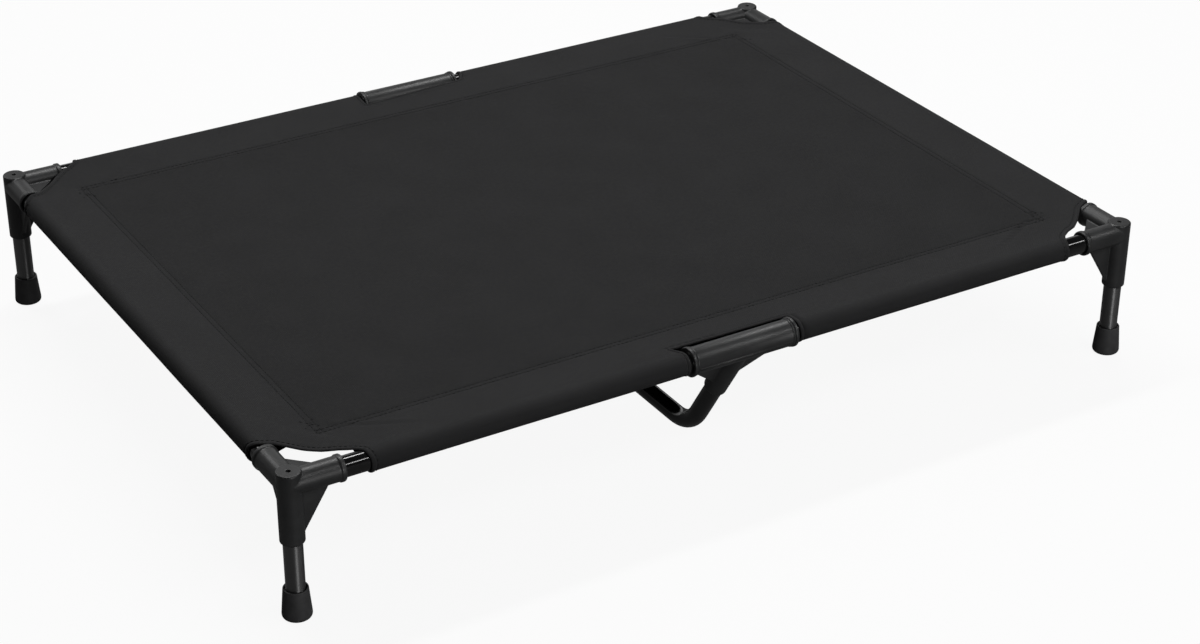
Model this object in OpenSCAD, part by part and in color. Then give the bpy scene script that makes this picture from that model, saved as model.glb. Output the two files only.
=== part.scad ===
// Raised dog cot: a push-together tube frame on four legs, with a cloth sling stretched over it
// Origin on the floor under the middle, X along the long side, Y to the rear, Z up, in millimetres

/* [Overall] */
// Length over the feet
overall_l = 876.3; // [640:0.1:1300]
// Width over the feet or the centre connectors, whichever stand out further
overall_w = 647.7; // [480:0.1:900]
// Height from the floor to the top of the centre connectors
overall_h = 139.7; // [120:0.1:260]

/* [Tubes] */
// Outside diameter of the rails
rail_d = 18; // [15:0.5:24]
// Outside diameter of the legs
leg_d = 16.5; // [13:0.5:24]
// Outside diameter of the brace bar
brace_d = 17; // [14:0.5:24]
// Wall thickness of every tube
tube_wall = 1.2; // [0.8:0.1:2]
// Clearance at the radius between a tube and its socket
fit = 0.08; // [0.02:0.01:0.1]

/* [Corner connector] */
// Wall of the leg socket
socket_wall = 2.2; // [1.5:0.1:4]
// Wall of the rail arms
arm_wall = 1.7; // [1.2:0.1:3]
// Length of leg held in its socket
leg_insert = 63.4; // [40:0.1:80]
// Length of rail held in an arm
rail_insert = 33.5; // [22:0.1:60]
// Thickness of the wall that a tube end stops against
stop_wall = 4.2; // [2:0.1:8]
// Thickness of the cap over the leg socket
cap_t = 3.2; // [2:0.1:6]
// Height of the cap over the top of the arms
cap_rise = 0.6; // [0.3:0.1:3]
// Diameter of the vent hole in the cap
vent_d = 4; // [2:0.5:8]
// Width of the lip round an arm's mouth
lip_w = 4; // [2:0.5:8]
// Height of that lip over the arm
lip_t = 0.9; // [0.4:0.1:2]
// Thickness of the gussets and of the centre connector's fins
rib_t = 4; // [2:0.5:6]
// Length of bare arm between a gusset and the lip
gusset_setback = 7.5; // [3:0.5:14]
// Length of bare socket below a gusset
gusset_foot = 5.2; // [3:0.1:20]
// Chamfer round the bottom of the leg socket
socket_chamfer = 2; // [0.5:0.1:2.5]

/* [Foot] */
// Height of the foot
foot_h = 28; // [22:0.5:45]
// Thickness of rubber under the leg
foot_floor = 6; // [3:0.5:12]
// Wall of the foot at its rim
foot_rim_wall = 2.3; // [2.2:0.1:5]
// Wall of the foot near the floor
foot_base_wall = 4.7; // [3:0.1:8]
// Radius of the rounded edge that meets the floor
foot_edge = 4; // [1:0.5:6]
// Depth of the flared mouth
foot_flare_h = 5; // [2:0.5:10]
// Width of the gap round the leg at the mouth
foot_flare = 0.9; // [0.4:0.1:1.2]

/* [Centre connector] */
// Length of the barrel
barrel_l = 107; // [90:1:160]
// Wall of the barrel
barrel_wall = 2.92; // [2:0.1:5]
// Width of the collars at the barrel's ends
collar_w = 5; // [3:0.5:10]
// Height of the collars over the barrel
collar_t = 1.3; // [0.5:0.1:3]
// Thickness of the web inside the barrel, between the two rail halves
web_t = 4; // [2:0.5:8]
// Wall of the brace socket
brace_socket_wall = 1.9; // [1.4:0.1:4]
// Length of brace bar held in its socket
brace_insert = 53.5; // [35:0.5:60]
// Length of bare socket past a fin
fin_foot = 14; // [8:0.5:26]
// Width of the moulding ridge along the outside of the barrel
ridge_w = 1; // [0.6:0.1:2]
// Height of that ridge over the barrel
ridge_t = 0.6; // [0.3:0.1:1]
// Angle of the ridge below level, in degrees
ridge_drop = 15.6; // [0:0.1:40]

/* [Brace bar] */
// Slope of the bar's ends, in degrees from upright
brace_slope = 32.4; // [20:0.1:45]
// Bend radius at the middle of the tube
brace_bend_r = 44; // [28:1:60]
// Height of the bar over the floor
brace_lift = 0.8; // [0.2:0.1:10]

/* [Sling] */
// Thickness of one layer of cloth
cloth_t = 1; // [0.6:0.1:2]
// Slack between the cloth and the rail inside its pocket
pocket_slack = 0.3; // [0.2:0.05:1]
// Distance from the middle of a rail to the seam of its pocket
seam_inset = 47; // [38:0.5:80]
// Width of the hem past the seam, under the panel
hem_w = 8; // [4:0.5:20]
// Depth of the panel below the top of the pockets
panel_drop = 5.5; // [2:0.1:8]
// Length of bare long rail between an arm and the cloth
bare_long_rail = 18; // [6:0.5:30]
// Length of bare end rail between an arm and the cloth
bare_end_rail = 14; // [6:0.5:30]
// Gap between a collar and the side of the notch in the cloth
notch_side_gap = 6.5; // [3:0.5:20]
// Gap between a collar and the back of the notch
notch_back_gap = 5.7; // [3:0.1:12]
// Corner radius of the notch
notch_r = 12; // [4:0.5:14]

/* [Hidden] */
$fn = 96;
plastic_black = "#232425";
coated_black = "#161617";
rubber_black = "#1d1d1e";
cloth_black = "#2e2e30";

// Small chamfer on moulded edges, and the lead-in at a socket's mouth
edge = 0.8;
// How deep a rib runs into the round wall that it stands on
bite = 1.5;
// How far a cut runs past the face that it opens
over = 1;
// How much the brace's tube draws in at its bends, and how many degrees a bend runs into a straight
bend_draw = 0.1;
bend_lap = 1;
// Straight steps in the quarter round of a foot, a notch corner, and the round of a pocket
foot_steps = 6;
notch_steps = 6;
pocket_steps = 28;

// Centre connector: radii, and distances from the rail along the slope of the brace socket
barrel_r = rail_d / 2 + fit + barrel_wall;
collar_r = barrel_r + collar_t;
brace_top = rail_d / 2 + fit + stop_wall;
brace_mouth = brace_top + brace_insert;
brace_socket_r = brace_d / 2 + fit + brace_socket_wall;
fin_reach = barrel_l / 2 - collar_w + bite;
fin_low = brace_mouth - fin_foot;

// Foot radii
foot_rim_r = leg_d / 2 + fit + foot_rim_wall;
foot_r = leg_d / 2 + fit + foot_base_wall;

// Middle lines of the legs and rails
axis_x = overall_l / 2 - foot_r;
axis_y = overall_w / 2 - max(foot_r, collar_r);
rail_z = overall_h - collar_r;

// Corner connector: radii, distances from the leg's middle line, and heights
socket_r = leg_d / 2 + fit + socket_wall;
arm_r = rail_d / 2 + fit + arm_wall;
lip_r = arm_r + lip_t;
rail_stop = leg_d / 2 + fit + stop_wall;
arm_l = rail_stop + rail_insert;
gusset_reach = arm_l - lip_w - gusset_setback;
corner_top = rail_z + arm_r + cap_rise;
leg_top = corner_top - cap_t;
socket_low = leg_top - leg_insert;
gusset_low = socket_low + gusset_foot;

// Brace bar: height of its floor run, the corner where its lines meet, and the length of a bend's ends
brace_z = brace_lift + brace_d / 2;
brace_corner_y = axis_y - (rail_z - brace_z) * tan(brace_slope);
brace_turn = 90 - brace_slope;
bend_end = brace_bend_r * tan(brace_turn / 2);
brace_leg_l = (rail_z - brace_z) / cos(brace_slope) - brace_top - bend_end;
floor_half = brace_corner_y - bend_end;

// Sling: pocket radii, and heights from the middle of the rails
pocket_in_r = rail_d / 2 + pocket_slack;
pocket_out_r = pocket_in_r + cloth_t;
panel_top = pocket_out_r - panel_drop;
panel_low = panel_top - cloth_t;
hem_low = panel_low - cloth_t;
cut_x = arm_l + bare_long_rail;
cut_y = arm_l + bare_end_rail;
notch_half = barrel_l / 2 + notch_side_gap;
notch_depth = collar_r + notch_back_gap;

// Places a piece drawn for the front left corner, which points to +X and +Y, at any corner
module at_corner(side_x, side_y) {
    translate([side_x * axis_x, side_y * axis_y, 0])
        mirror([side_x > 0 ? 1 : 0, 0, 0])
            mirror([0, side_y > 0 ? 1 : 0, 0])
                children();
}

// Places a piece drawn on the rail's middle line, with the cot's inside towards +Y, at a long side
module at_long_side(side_y) {
    translate([0, side_y * axis_y, rail_z])
        mirror([0, side_y > 0 ? 1 : 0, 0])
            children();
}

// Turns a shape drawn upwards so that it runs along +X
module along_x() {
    rotate([0, 90, 0]) children();
}

// Turns a shape drawn upwards so that it runs along +Y
module along_y() {
    rotate([-90, 0, 0]) children();
}

// Upright tube standing on the origin
module tube(d, l) {
    difference() {
        cylinder(d = d, h = l);
        translate([0, 0, -over])
            cylinder(d = d - 2 * tube_wall, h = l + 2 * over);
    }
}

// Solid that a socket loses: a blind hole that opens upwards at the mouth, with a lead-in there
module socket_bore(d, bottom, mouth) {
    r = d / 2 + fit;
    translate([0, 0, bottom])
        cylinder(r = r, h = mouth - bottom + over);
    translate([0, 0, mouth - edge])
        cylinder(r1 = r, r2 = r + edge + over, h = edge + over);
}

// Round arm of the corner connector, from the leg's middle line to the lip at its mouth
module rail_arm() {
    rotate_extrude()
        polygon([
            [0, 0], [arm_r, 0],
            [arm_r, arm_l - lip_w - lip_t], [lip_r, arm_l - lip_w],
            [lip_r, arm_l - edge], [lip_r - edge, arm_l], [0, arm_l]
        ]);
}

// Upright socket of the corner connector, with a chamfered mouth below and a flat cap
module leg_socket() {
    rotate_extrude()
        polygon([
            [0, socket_low], [socket_r - socket_chamfer, socket_low],
            [socket_r, socket_low + socket_chamfer],
            [socket_r, corner_top - edge], [socket_r - edge, corner_top], [0, corner_top]
        ]);
}

// Triangular gusset under the arm that runs along X
module arm_gusset() {
    rotate([90, 0, 0])
        linear_extrude(rib_t, center = true)
            polygon([
                [0, rail_z], [gusset_reach, rail_z], [gusset_reach, rail_z - arm_r + bite],
                [socket_r - bite, gusset_low], [0, gusset_low]
            ]);
}

// Level web in the inner corner between the two arms
module corner_web() {
    translate([0, 0, rail_z])
        linear_extrude(rib_t, center = true)
            polygon([
                [0, 0], [gusset_reach, 0], [gusset_reach, arm_r - bite],
                [arm_r - bite, gusset_reach], [0, gusset_reach]
            ]);
}

// Moulded corner connector, with its leg socket on the Z axis and its arms along +X and +Y
module corner_connector() {
    color(plastic_black)
        difference() {
            union() {
                leg_socket();
                translate([0, 0, rail_z]) along_x() rail_arm();
                translate([0, 0, rail_z]) along_y() rail_arm();
                arm_gusset();
                mirror([1, -1, 0]) arm_gusset();
                corner_web();
            }
            mirror([0, 0, 1]) socket_bore(leg_d, -leg_top, -socket_low);
            translate([0, 0, rail_z]) along_x() socket_bore(rail_d, rail_stop, arm_l);
            translate([0, 0, rail_z]) along_y() socket_bore(rail_d, rail_stop, arm_l);
            translate([0, 0, leg_top - over]) cylinder(d = vent_d, h = cap_t + 2 * over);
        }
}

// Leg tube, from the floor of its foot to the stop in its socket
module leg() {
    color(coated_black)
        translate([0, 0, foot_floor])
            tube(leg_d, leg_top - foot_floor);
}

// Rubber foot: a tapered cup with a rounded lower edge and a flared mouth
module foot() {
    lower_edge = [
        for (i = [0:foot_steps])
            let (a = -90 + 90 * i / foot_steps)
            [foot_r - foot_edge + foot_edge * cos(a), foot_edge + foot_edge * sin(a)]
    ];
    bore_r = leg_d / 2 + fit;
    color(rubber_black)
        difference() {
            rotate_extrude()
                polygon(concat(
                    [[0, 0]], lower_edge,
                    [[foot_rim_r, foot_h - edge], [foot_rim_r - edge, foot_h], [0, foot_h]]
                ));
            translate([0, 0, foot_floor])
                cylinder(r = bore_r, h = foot_h);
            translate([0, 0, foot_h - foot_flare_h])
                cylinder(r1 = bore_r, r2 = bore_r + foot_flare, h = foot_flare_h);
        }
}

// Half of a long rail, from the stop in its corner connector to the web in the centre connector
module long_rail_half(side_x, side_y) {
    l = axis_x - rail_stop - web_t / 2;
    start = side_x > 0 ? web_t / 2 : -web_t / 2 - l;
    color(coated_black)
        translate([start, side_y * axis_y, rail_z])
            along_x() tube(rail_d, l);
}

// End rail, between the stops of two corner connectors
module end_rail(side_x) {
    half = axis_y - rail_stop;
    color(coated_black)
        translate([side_x * axis_x, -half, rail_z])
            along_y() tube(rail_d, 2 * half);
}

// Barrel of the centre connector along X, with a collar at each end and a ridge between them
module barrel() {
    translate([-barrel_l / 2, 0, 0])
        along_x() cylinder(r = barrel_r, h = barrel_l);
    for (side = [0, 1])
        mirror([side, 0, 0])
            translate([barrel_l / 2 - collar_w, 0, 0])
                along_x()
                    rotate_extrude()
                        polygon([
                            [0, 0], [collar_r - edge, 0], [collar_r, edge],
                            [collar_r, collar_w - edge], [collar_r - edge, collar_w], [0, collar_w]
                        ]);
    rotate([ridge_drop, 0, 0])
        translate([-fin_reach, -barrel_r - ridge_t, -ridge_w / 2])
            cube([2 * fin_reach, ridge_t + bite, ridge_w]);
}

// Moulded centre connector, drawn on the rail's middle line with the brace socket down and inwards
module centre_connector() {
    color(plastic_black)
        difference() {
            union() {
                barrel();
                rotate([brace_slope, 0, 0]) {
                    mirror([0, 0, 1])
                        cylinder(r = brace_socket_r, h = brace_mouth);
                    rotate([90, 0, 0])
                        linear_extrude(rib_t, center = true)
                            polygon([
                                [-fin_reach, 0], [-fin_reach, -barrel_r],
                                [-brace_socket_r + bite, -fin_low], [brace_socket_r - bite, -fin_low],
                                [fin_reach, -barrel_r], [fin_reach, 0]
                            ]);
                }
            }
            along_x() socket_bore(rail_d, web_t / 2, barrel_l / 2);
            mirror([1, 0, 0]) along_x() socket_bore(rail_d, web_t / 2, barrel_l / 2);
            rotate([brace_slope, 0, 0])
                mirror([0, 0, 1]) socket_bore(brace_d, brace_top, brace_mouth);
        }
}

// Front end of the brace bar as a solid rod: the sloping run into its socket, and the bend below it
module brace_end(d, extra) {
    translate([0, -axis_y, rail_z])
        rotate([brace_slope, 0, 0])
            translate([0, 0, -brace_top - brace_leg_l])
                cylinder(d = d, h = brace_leg_l + extra);
    translate([0, -floor_half, brace_z + brace_bend_r])
        rotate([90, 0, 90])
            rotate([0, 0, 180 + brace_slope - bend_lap])
                rotate_extrude(angle = brace_turn + 2 * bend_lap)
                    translate([brace_bend_r, 0]) circle(d = d - bend_draw);
}

// Whole length of the brace bar as a solid rod, running past its two ends by extra
module brace_rod(d, extra) {
    brace_end(d, extra);
    mirror([0, 1, 0]) brace_end(d, extra);
    translate([0, -floor_half, brace_z])
        along_y() cylinder(d = d, h = 2 * floor_half);
}

// Brace bar: one tube bent twice, held in both centre connectors and running across just off the floor
module brace_bar() {
    color(coated_black)
        difference() {
            brace_rod(brace_d, 0);
            brace_rod(brace_d - 2 * tube_wall, over);
        }
}

// Angle at which a line from the point p touches a circle of radius r round the origin, above or below
function touch_angle(r, p, above) = atan2(p[1], p[0]) + (above ? 1 : -1) * acos(r / norm(p));

// Outline of a pocket: round the rail on the outside, straight to the upper and lower tips at the seam
function pocket_outline(r, upper_tip, lower_tip) =
    let (
        first = touch_angle(r, upper_tip, true),
        last = 360 + touch_angle(r, lower_tip, false)
    )
    concat(
        [for (i = [0:pocket_steps]) let (a = first + (last - first) * i / pocket_steps) [r * cos(a), r * sin(a)]],
        [lower_tip, upper_tip]
    );

// Section across a pocket and its hem, with the rail's middle at the origin and the cot's inside to +X
module pocket_section() {
    difference() {
        polygon(pocket_outline(pocket_out_r, [seam_inset, panel_top], [seam_inset, hem_low]));
        polygon(pocket_outline(pocket_in_r, [seam_inset, panel_low], [seam_inset, panel_low]));
    }
    translate([seam_inset - over, hem_low])
        square([hem_w + over, 2 * cloth_t]);
}

// Section of the upper layer alone, from the top of the round to just past the seam
module upper_layer_section() {
    outer = touch_angle(pocket_out_r, [seam_inset, panel_top], true);
    inner = touch_angle(pocket_in_r, [seam_inset, panel_low], true);
    polygon([
        pocket_out_r * [cos(outer), sin(outer)], [seam_inset, panel_top], [seam_inset + over, panel_top],
        [seam_inset + over, panel_low], [seam_inset, panel_low], pocket_in_r * [cos(inner), sin(inner)]
    ]);
}

// Stretches a section along the middle of one side, half_l to each end
module along_side(half_l) {
    rotate([90, 0, 90])
        translate([0, 0, -half_l])
            linear_extrude(2 * half_l) children();
}

// Pocket along one side: its round ends at the cut, and its upper layer runs on to a mitre at the corner
module side_pocket(half_l, cut) {
    deep = seam_inset + 2 * over;
    along_side(half_l - cut) pocket_section();
    intersection() {
        along_side(half_l) upper_layer_section();
        linear_extrude(4 * pocket_out_r, center = true)
            polygon([[-half_l, 0], [half_l, 0], [half_l - deep, deep], [-half_l + deep, deep]]);
    }
}

// Corner of cloth that is cut away so that the connector stays bare, drawn at the front left corner
module corner_cut() {
    out = 2 * pocket_out_r;
    linear_extrude(4 * pocket_out_r, center = true)
        polygon([[-out, -out], [cut_x + out * cut_x / cut_y, -out], [-out, cut_y + out * cut_y / cut_x]]);
}

// Round-cornered notch that leaves the centre connector bare, drawn at the front side
module side_notch() {
    corner = [
        for (i = [0:notch_steps])
            let (a = 90 * i / notch_steps)
            [notch_half - notch_r + notch_r * cos(a), notch_depth - notch_r + notch_r * sin(a)]
    ];
    mirrored = [for (i = [notch_steps:-1:0]) [-corner[i][0], corner[i][1]]];
    out = 2 * pocket_out_r;
    linear_extrude(4 * pocket_out_r, center = true)
        polygon(concat([[notch_half, -out]], corner, mirrored, [[-notch_half, -out]]));
}

// Cloth sling: a flat panel with a pocket along each side, open at the corners and centre connectors
module sling() {
    color(cloth_black)
        translate([0, 0, rail_z])
            difference() {
                union() {
                    translate([-axis_x + seam_inset, -axis_y + seam_inset, panel_low])
                        cube([2 * (axis_x - seam_inset), 2 * (axis_y - seam_inset), cloth_t]);
                    for (side = [0, 1]) {
                        mirror([0, side, 0]) translate([0, -axis_y, 0]) side_pocket(axis_x, cut_x);
                        mirror([side, 0, 0]) mirror([1, -1, 0])
                            translate([0, -axis_x, 0]) side_pocket(axis_y, cut_y);
                    }
                }
                for (side_x = [0, 1], side_y = [0, 1])
                    mirror([side_x, 0, 0]) mirror([0, side_y, 0])
                        translate([-axis_x, -axis_y, 0]) corner_cut();
                for (side = [0, 1])
                    mirror([0, side, 0]) translate([0, -axis_y, 0]) side_notch();
            }
}

at_corner(-1, -1) corner_connector();  // corner_front_left
at_corner(1, -1) corner_connector();  // corner_front_right
at_corner(-1, 1) corner_connector();  // corner_rear_left
at_corner(1, 1) corner_connector();  // corner_rear_right
at_corner(-1, -1) leg();  // leg_front_left
at_corner(1, -1) leg();  // leg_front_right
at_corner(-1, 1) leg();  // leg_rear_left
at_corner(1, 1) leg();  // leg_rear_right
at_corner(-1, -1) foot();  // foot_front_left
at_corner(1, -1) foot();  // foot_front_right
at_corner(-1, 1) foot();  // foot_rear_left
at_corner(1, 1) foot();  // foot_rear_right
long_rail_half(-1, -1);  // front_rail_left
long_rail_half(1, -1);  // front_rail_right
long_rail_half(-1, 1);  // rear_rail_left
long_rail_half(1, 1);  // rear_rail_right
end_rail(-1);  // left_end_rail
end_rail(1);  // right_end_rail
at_long_side(-1) centre_connector();  // front_centre_connector
at_long_side(1) centre_connector();  // rear_centre_connector
brace_bar();
sling();
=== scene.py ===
import math

import bmesh
import bpy
from mathutils import Matrix, Vector, geometry, noise


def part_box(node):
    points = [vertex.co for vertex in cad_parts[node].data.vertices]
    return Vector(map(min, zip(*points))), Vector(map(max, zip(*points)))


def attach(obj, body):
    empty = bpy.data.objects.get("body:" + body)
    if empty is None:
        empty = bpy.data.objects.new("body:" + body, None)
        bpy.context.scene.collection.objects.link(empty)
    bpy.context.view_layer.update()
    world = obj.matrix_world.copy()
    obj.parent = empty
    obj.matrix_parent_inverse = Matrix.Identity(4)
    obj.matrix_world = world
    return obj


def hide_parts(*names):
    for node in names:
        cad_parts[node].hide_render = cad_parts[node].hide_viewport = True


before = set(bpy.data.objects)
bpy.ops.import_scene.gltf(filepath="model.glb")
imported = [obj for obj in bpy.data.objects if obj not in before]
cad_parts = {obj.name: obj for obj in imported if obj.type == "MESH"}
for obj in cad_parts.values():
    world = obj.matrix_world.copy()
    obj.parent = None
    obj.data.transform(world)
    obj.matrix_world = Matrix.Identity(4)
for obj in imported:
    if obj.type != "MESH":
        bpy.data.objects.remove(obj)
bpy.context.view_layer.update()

# The cot as the workshop drawing gives it, and a viewpoint at standing height before its front left
# corner, looking down at about 29 degrees.
eye_place = Vector((-1.0969, -1.8901, 1.2117))
eye_turn = 0.5444
eye_dip = 0.5052
eye_roll = 0.0042
eye_lens_mm = 77.0
eye_sensor_mm = 36.0


def set_down(name, data):
    """Puts a new object into the scene, at the origin."""
    added = bpy.data.objects.new(name, data)
    bpy.context.collection.objects.link(added)
    return added


viewer_data = bpy.data.cameras.new("viewer")
viewer_data.lens = eye_lens_mm
viewer_data.sensor_width = eye_sensor_mm
viewer_data.sensor_fit = "HORIZONTAL"
viewer = set_down("viewer", viewer_data)
viewer.matrix_world = (
    Matrix.Translation(eye_place)
    @ Matrix.Rotation(-eye_turn, 4, "Z")
    @ Matrix.Rotation(math.pi / 2 - eye_dip, 4, "X")
    @ Matrix.Rotation(eye_roll, 4, "Z")
)
bpy.context.scene.camera = viewer
bpy.context.scene.view_settings.view_transform = "Standard"


# Corner connectors: four mouldings in black filled plastic, each with an upright leg socket, two rail arms
# with a lip at the mouth, and flat gussets. They come from a two-part mould, so every edge and inner
# corner is softly rounded and the skin has a fine even grain.
class Wire:
    """One socket of a material's nodes. Sums on it add Math nodes, and make adds any other node."""

    def __init__(self, tree, output):
        self.tree = tree
        self.output = output

    def make(self, kind, inputs, result=0, **settings):
        """Adds a node, with its settings first, then its inputs, and gives back one of its outputs."""
        added = self.tree.nodes.new(kind)
        for name, value in settings.items():
            setattr(added, name, value)
        for name, value in inputs.items():
            if isinstance(value, Wire):
                self.tree.links.new(value.output, added.inputs[name])
            else:
                added.inputs[name].default_value = value
        return Wire(self.tree, added.outputs[result])

    def sum(self, operation, first, second=0.0):
        return self.make("ShaderNodeMath", {0: first, 1: second}, operation=operation)

    def __add__(self, other):
        return self.sum("ADD", self, other)

    def __radd__(self, other):
        return self.sum("ADD", other, self)

    def __sub__(self, other):
        return self.sum("SUBTRACT", self, other)

    def __rsub__(self, other):
        return self.sum("SUBTRACT", other, self)

    def __mul__(self, other):
        return self.sum("MULTIPLY", self, other)

    def __rmul__(self, other):
        return self.sum("MULTIPLY", other, self)

    def __abs__(self):
        return self.sum("ABSOLUTE", self)

    def speckle(self, size, detail=2.0, rough=0.5):
        """Soft noise from 0 to 1 whose patches are about size metres across."""
        inputs = {"Vector": self, "Scale": 1.0 / size, "Detail": detail, "Roughness": rough}
        return self.make("ShaderNodeTexNoise", inputs)

    def spread(self, low, high, from_low=0.3, from_high=0.7):
        """Takes the middle of a noise to a range of values."""
        inputs = {0: self, 1: from_low, 2: from_high, 3: low, 4: high}
        return self.make("ShaderNodeMapRange", inputs)

    def tint(self, dark, light):
        """A colour between two greys."""
        inputs = {"Factor": self, "A": (*dark, 1.0), "B": (*light, 1.0)}
        return self.make("ShaderNodeMix", inputs, result=2, data_type="RGBA")

    def relief(self, height, depth):
        """The surface's direction over a bump of that depth in metres."""
        return self.make("ShaderNodeBump", {"Height": height, "Distance": depth, "Strength": 1.0})


def new_finish(name, coordinates="Object"):
    """A material, its shader, and the wire that carries places on the piece."""
    finish = bpy.data.materials.new(name)
    finish.use_nodes = True
    tree = finish.node_tree
    shader = tree.nodes["Principled BSDF"]
    place = Wire(tree, None).make("ShaderNodeTexCoord", {}, result=coordinates)
    return finish, shader, place


def feed(shader, **wires):
    """Leads wires to a shader's inputs, named with underscores for spaces."""
    tree = shader.id_data
    for name, wire in wires.items():
        tree.links.new(wire.output, shader.inputs[name.replace("_", " ")])


def settled_mesh(piece):
    """Makes a piece's modifiers part of its mesh."""
    ready = piece.evaluated_get(bpy.context.evaluated_depsgraph_get())
    mesh = bpy.data.meshes.new_from_object(ready)
    piece.modifiers.clear()
    piece.data = mesh
    mesh.name = piece.name


merge_gap = 0.000001
soften_share = 0.5


def moulded_copy(name, node, skin, rounding, kept_share):
    """A copy of a solid with its edges and inner corners rounded, as they leave the mould."""
    shape = bmesh.new()
    shape.from_mesh(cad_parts[node].data)
    bmesh.ops.remove_doubles(shape, verts=shape.verts, dist=merge_gap)
    mesh = bpy.data.meshes.new(name)
    shape.to_mesh(mesh)
    shape.free()
    piece = set_down(name, mesh)
    cast = piece.modifiers.new("cast", "REMESH")
    cast.mode = "VOXEL"
    cast.voxel_size = skin
    soften = piece.modifiers.new("soften", "SMOOTH")
    soften.factor = soften_share
    soften.iterations = rounding
    thin = piece.modifiers.new("thin", "DECIMATE")
    thin.ratio = kept_share
    settled_mesh(piece)
    piece.data.shade_smooth()
    return piece


plastic_dark = (0.0144, 0.0147, 0.015)
plastic_light = (0.026, 0.0265, 0.027)
plastic_rough = (0.38, 0.46)
grain_size = 0.0009
grain_deep = 0.00005
flow_size = 0.018
handled_size = 0.006
connector_plastic, plastic_shader, plastic_place = new_finish("connector_plastic")
plastic_shader.inputs["IOR"].default_value = 1.5
plastic_shader.inputs["Specular IOR Level"].default_value = 0.42
grain = plastic_place.speckle(grain_size, detail=3.0)
flow = plastic_place.speckle(flow_size)
handled = plastic_place.speckle(handled_size, detail=4.0, rough=0.6)
plastic_shade = flow.spread(0.0, 0.7) + grain.spread(-0.1, 0.3)
feed(
    plastic_shader,
    Base_Color=plastic_shade.tint(plastic_dark, plastic_light),
    Roughness=handled.spread(*plastic_rough) + grain.spread(-0.03, 0.03),
    Normal=plastic_place.relief(grain + 0.4 * handled, grain_deep),
)

corner_skin = 0.00048
corner_rounding = 4
corner_kept = 0.28
corner_places = ["front_left", "front_right", "rear_left", "rear_right"]
for corner_place in corner_places:
    solid = f"corner_{corner_place}"
    moulding = f"corner_moulding_{corner_place}"
    corner = moulded_copy(moulding, solid, corner_skin, corner_rounding, corner_kept)
    corner.data.materials.clear()
    corner.data.materials.append(connector_plastic)
    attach(corner, "frame")
    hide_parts(f"corner_{corner_place}")


# Tubes: four legs, four half rails, two end rails and the bent brace bar, all thin steel tube in a
# black powder coat with a shallow orange-peel skin, a little scuffed. The rails and the brace have a
# gloss. The legs are polished round under a satin coat, which draws a streak of light along them.
tube_dark = (0.004, 0.004, 0.0042)
tube_light = (0.0075, 0.0075, 0.0078)
tube_rough = (0.09, 0.15)
peel_size = 0.0016
peel_deep = 0.00003
scuff_size = 0.011
coated_tube, tube_shader, tube_place = new_finish("coated_tube")
tube_shader.inputs["IOR"].default_value = 1.5
tube_shader.inputs["Specular IOR Level"].default_value = 0.5
peel = tube_place.speckle(peel_size)
scuffs = tube_place.speckle(scuff_size, detail=5.0, rough=0.65)
feed(
    tube_shader,
    Base_Color=scuffs.spread(0.0, 1.0).tint(tube_dark, tube_light),
    Roughness=scuffs.spread(*tube_rough),
    Normal=tube_place.relief(peel, peel_deep),
)

leg_dark = (0.0075, 0.0075, 0.0078)
leg_light = (0.0125, 0.0125, 0.0129)
leg_rough = (0.4, 0.47)
leg_peel_size = 0.0012
leg_peel_deep = 0.00002
leg_scuff_size = 0.009
leg_coat, leg_shader, leg_place = new_finish("leg_coat")
leg_shader.inputs["IOR"].default_value = 1.8
leg_shader.inputs["Specular IOR Level"].default_value = 0.9
leg_shader.inputs["Anisotropic"].default_value = 0.85
leg_shader.inputs["Anisotropic Rotation"].default_value = 0.25
leg_peel = leg_place.speckle(leg_peel_size)
leg_scuffs = leg_place.speckle(leg_scuff_size, detail=5.0, rough=0.65)
feed(
    leg_shader,
    Base_Color=leg_scuffs.spread(0.0, 1.0).tint(leg_dark, leg_light),
    Roughness=leg_scuffs.spread(*leg_rough),
    Normal=leg_place.relief(leg_peel, leg_peel_deep),
)

tube_nodes = [f"leg_{corner_place}" for corner_place in corner_places]
tube_nodes += [f"{side}_rail_{half}" for side in ("front", "rear") for half in ("left", "right")]
tube_nodes += ["left_end_rail", "right_end_rail", "brace_bar"]
for tube_node in tube_nodes:
    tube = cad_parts[tube_node]
    tube.data.materials.clear()
    tube.data.materials.append(leg_coat if tube_node.startswith("leg") else coated_tube)


# Feet: four push-on cups in black rubber, wider at the floor, with a rolled mouth round the leg
# and a rounded sole with a shallow ring moulded into it.
rubber_dark = (0.0325, 0.0325, 0.0334)
rubber_light = (0.05, 0.05, 0.0512)
rubber_rough = (0.55, 0.72)
bloom_size = 0.007
pore_size = 0.0007
pore_deep = 0.00006
foot_rubber, rubber_shader, rubber_place = new_finish("foot_rubber")
rubber_shader.inputs["IOR"].default_value = 1.5
rubber_shader.inputs["Specular IOR Level"].default_value = 0.25
bloom = rubber_place.speckle(bloom_size, detail=4.0, rough=0.6)
pores = rubber_place.speckle(pore_size)
feed(
    rubber_shader,
    Base_Color=bloom.spread(0.0, 1.0).tint(rubber_dark, rubber_light),
    Roughness=bloom.spread(*rubber_rough),
    Normal=rubber_place.relief(pores, pore_deep),
)

foot_h = 0.028
foot_floor = 0.006
foot_r = 0.01303
foot_round = 0.0042
foot_rim_r = 0.01063
foot_rim_round = 0.0009
leg_r = 0.00825
leg_gap = 0.00008
foot_bore_r = leg_r + leg_gap
mouth_flare = 0.0008
mouth_deep = 0.005
mouth_round = 0.0006
dish_r = 0.0045
dish_deep = 0.0008
dish_edge_r = 0.0048
dish_edge_deep = 0.0005
sole_in_r = 0.0052
sole_out_r = 0.0062
foot_round_steps = 8
foot_rim_steps = 5
mouth_steps = 4
foot_turns = 72


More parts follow.
